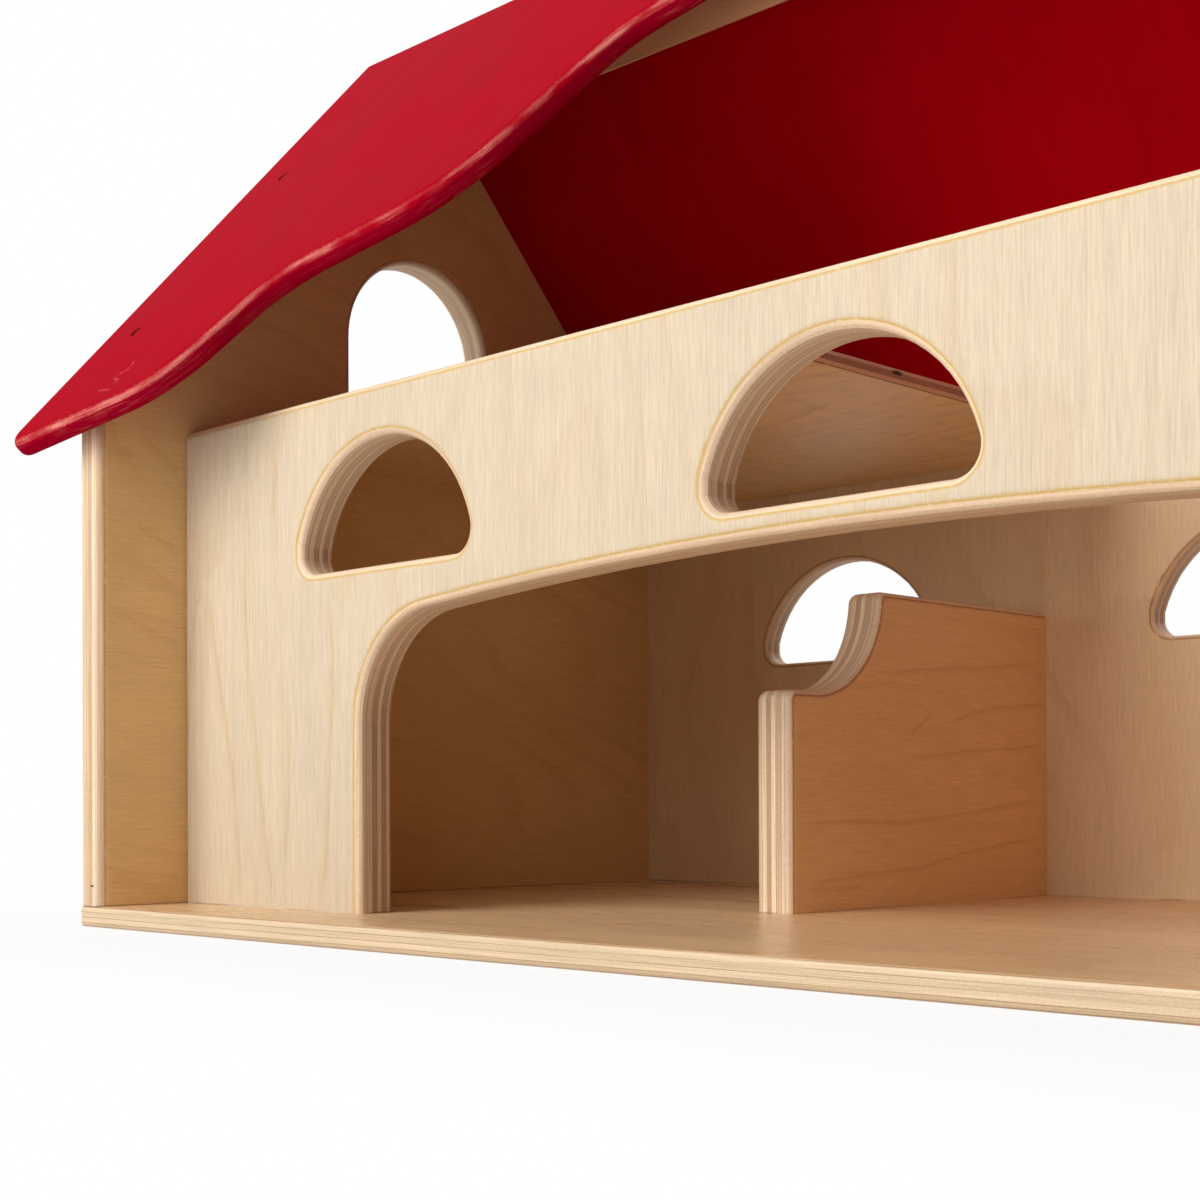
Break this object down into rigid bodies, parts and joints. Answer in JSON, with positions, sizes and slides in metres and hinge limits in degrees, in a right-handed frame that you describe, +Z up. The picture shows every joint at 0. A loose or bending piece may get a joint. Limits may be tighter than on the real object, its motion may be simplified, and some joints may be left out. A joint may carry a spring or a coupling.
{
  "type": "toy barn",
  "caption": "Wooden toy barn with a wide arched front, half-moon windows, stall dividers, open loft floors and a red pitched roof whose front edge is sawn in a wave.",
  "frame": {"origin": "on the table under the middle of the base board and of the whole box", "axes": "+X along the ridge to the right seen from the front, +Y from the front to the back, +Z up"},
  "size_m": [0.535, 0.2618, 0.2863],
  "materials": {
    "birch_plywood": "clear matt lacquer over sanded birch",
    "red_plywood": "red stain with a satin coat, rubbed on the edges",
    "steel": "plain wire nails"
  },
  "bodies": {
    "root": {"base_board": "birch_plywood", "left_gable": "birch_plywood", "right_gable": "birch_plywood", "front_wall": "birch_plywood", "back_wall": "birch_plywood", "left_divider": "birch_plywood", "right_divider": "birch_plywood", "left_loft_floor": "birch_plywood", "right_loft_floor": "birch_plywood", "ridge_beam": "birch_plywood", "front_roof_panel": "red_plywood", "rear_roof_panel": "red_plywood", "base_nails": "steel", "left_gable_nails": "steel", "right_gable_nails": "steel", "front_roof_nails": "steel", "rear_roof_nails": "steel"}
  },
  "joints": []
}
